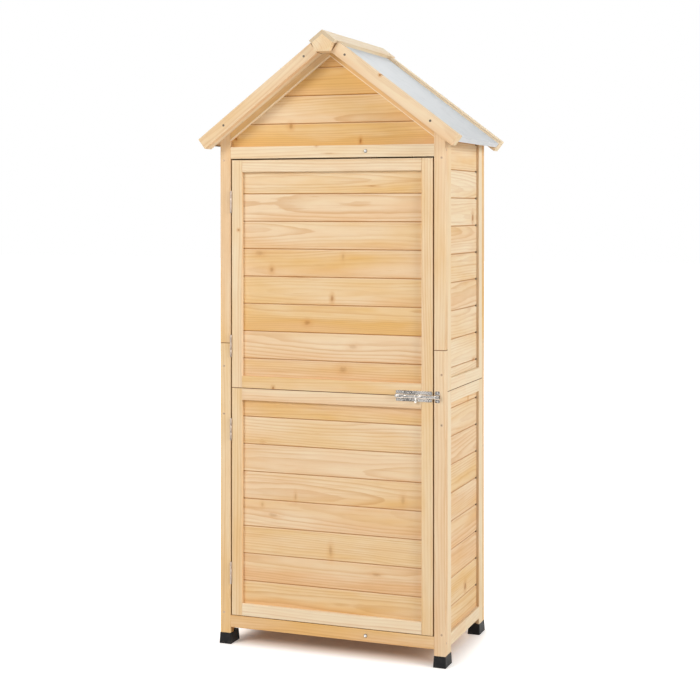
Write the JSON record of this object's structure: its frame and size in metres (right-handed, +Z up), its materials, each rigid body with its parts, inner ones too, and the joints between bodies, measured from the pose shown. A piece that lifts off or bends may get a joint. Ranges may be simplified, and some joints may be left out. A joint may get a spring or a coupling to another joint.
{
  "type": "storage shed",
  "caption": "Tall narrow softwood tool shed with framed board walls, one full-height door, barrel bolt, shelves beside a tool bay and a pitched metal roof.",
  "frame": {"origin": "on the floor under the middle of the shed, measured over the roof", "axes": "+X to the shed's right seen from the front, +Y to the back, +Z up; the door faces -Y"},
  "size_m": [0.791, 0.52, 1.7808],
  "materials": {
    "fir_frame": "planed natural fir, matt",
    "fir_board": "planed natural fir, matt",
    "roof_sheet": "light grey, satin",
    "bolt_chrome": "bright",
    "zinc_steel": "bright zinc",
    "dark_steel": "dark phosphate",
    "foot_plastic": "matt black"
  },
  "bodies": {
    "shed": {"front_post_lower_left": "fir_frame", "front_post_lower_right": "fir_frame", "front_post_upper_left": "fir_frame", "front_post_upper_right": "fir_frame", "front_rail_bottom": "fir_frame", "front_rail_top": "fir_frame", "gable_rafters_front": "fir_frame", "gable_boards_front": "fir_board", "back_post_left": "fir_frame", "back_post_right": "fir_frame", "back_rails": "fir_frame", "back_boards": "fir_board", "gable_rafters_back": "fir_frame", "gable_boards_back": "fir_board", "side_frame_lower_left": "fir_frame", "side_boards_lower_left": "fir_board", "side_frame_upper_left": "fir_frame", "side_boards_upper_left": "fir_board", "side_frame_lower_right": "fir_frame", "side_boards_lower_right": "fir_board", "side_frame_upper_right": "fir_frame", "side_boards_upper_right": "fir_board", "hinge_frame_leaves": "zinc_steel", "hinge_pins": "zinc_steel", "bolt_keep": "bolt_chrome", "barge_front_left": "fir_frame", "barge_front_right": "fir_frame", "barge_back_left": "fir_frame", "barge_back_right": "fir_frame", "verge_rafters_left": "fir_frame", "verge_rafters_right": "fir_frame", "roof_deck_left": "fir_board", "roof_deck_right": "fir_board", "roof_sheet_left": "roof_sheet", "roof_sheet_right": "roof_sheet", "ridge_beam": "fir_frame", "ridge_cap_left": "fir_frame", "ridge_cap_right": "fir_frame", "feet": "foot_plastic", "floor_boards": "fir_board", "battens": "fir_frame", "inner_upright_front": "fir_frame", "inner_upright_back": "fir_frame", "shelf_lower": "fir_board", "shelf_middle": "fir_board", "shelf_upper": "fir_board", "frame_screws": "dark_steel", "bright_screws": "zinc_steel"},
    "door": {"door_stiles_lower": "fir_frame", "door_rails_lower": "fir_frame", "door_boards_lower": "fir_board", "door_stiles_upper": "fir_frame", "door_rails_upper": "fir_frame", "door_boards_upper": "fir_board", "door_dowels": "fir_frame", "hinge_door_leaves": "zinc_steel", "bolt_plate": "bolt_chrome", "door_screws": "zinc_steel"},
    "bolt_rod": {"bolt_rod": "bolt_chrome"},
    "bolt_knob": {"bolt_knob": "bolt_chrome"}
  },
  "joints": [
    {"name": "door_hinge", "type": "hinge", "parent": "shed", "child": "door", "pos_m": [-0.31, -0.2022, 0.752], "axis": [0, 0, -1], "range_deg": [0, 175]},
    {"name": "bolt_slide", "type": "slide", "parent": "door", "child": "bolt_rod", "axis": [1, 0, 0], "range_m": [-0.016, 0.0075]},
    {"name": "knob_turn", "type": "hinge", "parent": "bolt_rod", "child": "bolt_knob", "pos_m": [0.2602, -0.2067, 0.752], "axis": [-1, 0, 0], "range_deg": [0, 150]}
  ]
}
